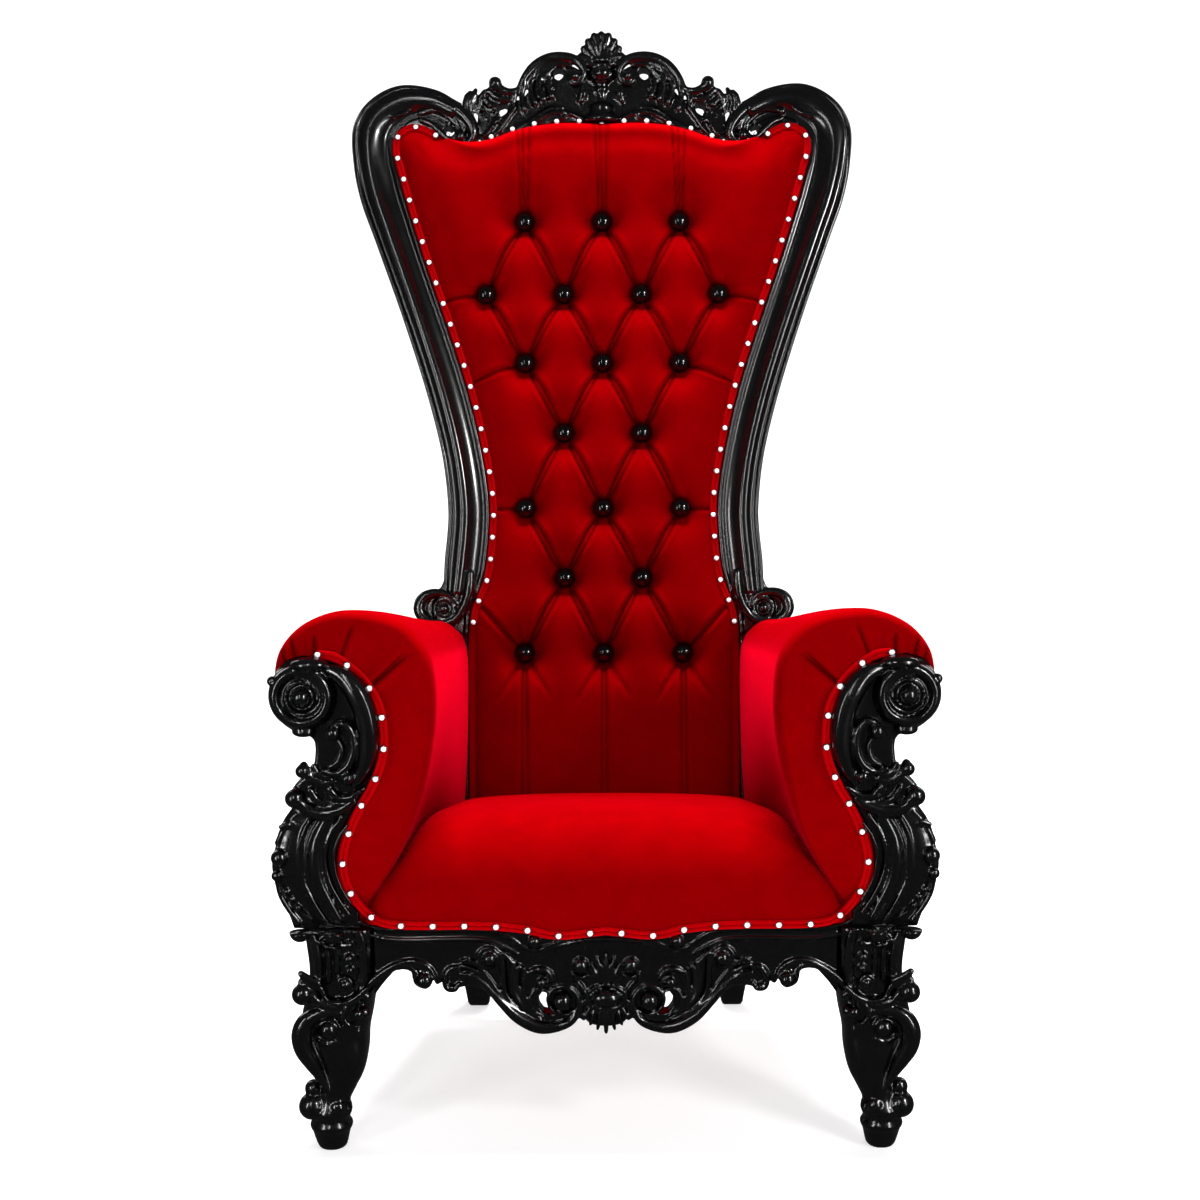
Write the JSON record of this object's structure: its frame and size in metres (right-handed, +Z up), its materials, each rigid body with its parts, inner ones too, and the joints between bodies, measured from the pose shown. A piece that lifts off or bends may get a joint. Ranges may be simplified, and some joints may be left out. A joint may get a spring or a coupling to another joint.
{
  "type": "throne chair",
  "caption": "High-backed throne chair with a carved black lacquered frame, a buttoned red velvet back, rolled arms and a domed seat.",
  "frame": {"origin": "on the floor, in the middle of the throne's width and depth", "axes": "+Z up, -Y is the way the sitter faces, -X is the viewer's left from the front"},
  "size_m": [1.007, 0.8286, 1.8021],
  "materials": {
    "lacquer": "high gloss black lacquer over carved wood",
    "velvet": "deep red velvet with a soft nap",
    "button": "polished black",
    "crystal": "faceted clear crystal with a silver back"
  },
  "bodies": {
    "root": {"front_leg_left": "lacquer", "front_leg_right": "lacquer", "rear_leg_left": "lacquer", "rear_leg_right": "lacquer", "side_rail_left": "lacquer", "side_rail_right": "lacquer", "front_apron": "lacquer", "rear_rail": "lacquer", "seat_pad": "velvet", "arm_pad_left": "velvet", "arm_pad_right": "velvet", "arm_post_left": "lacquer", "arm_post_right": "lacquer", "back_stile_left": "lacquer", "back_stile_right": "lacquer", "crest_rail": "lacquer", "back_pad": "velvet", "back_panel": "velvet", "back_button_01": "button", "back_button_02": "button", "back_button_03": "button", "back_button_04": "button", "back_button_05": "button", "back_button_06": "button", "back_button_07": "button", "back_button_08": "button", "back_button_09": "button", "back_button_10": "button", "back_button_11": "button", "back_button_12": "button", "back_button_13": "button", "back_button_14": "button", "back_button_15": "button", "back_button_16": "button", "back_button_17": "button", "back_button_18": "button", "back_button_19": "button", "back_button_20": "button"}
  },
  "joints": []
}
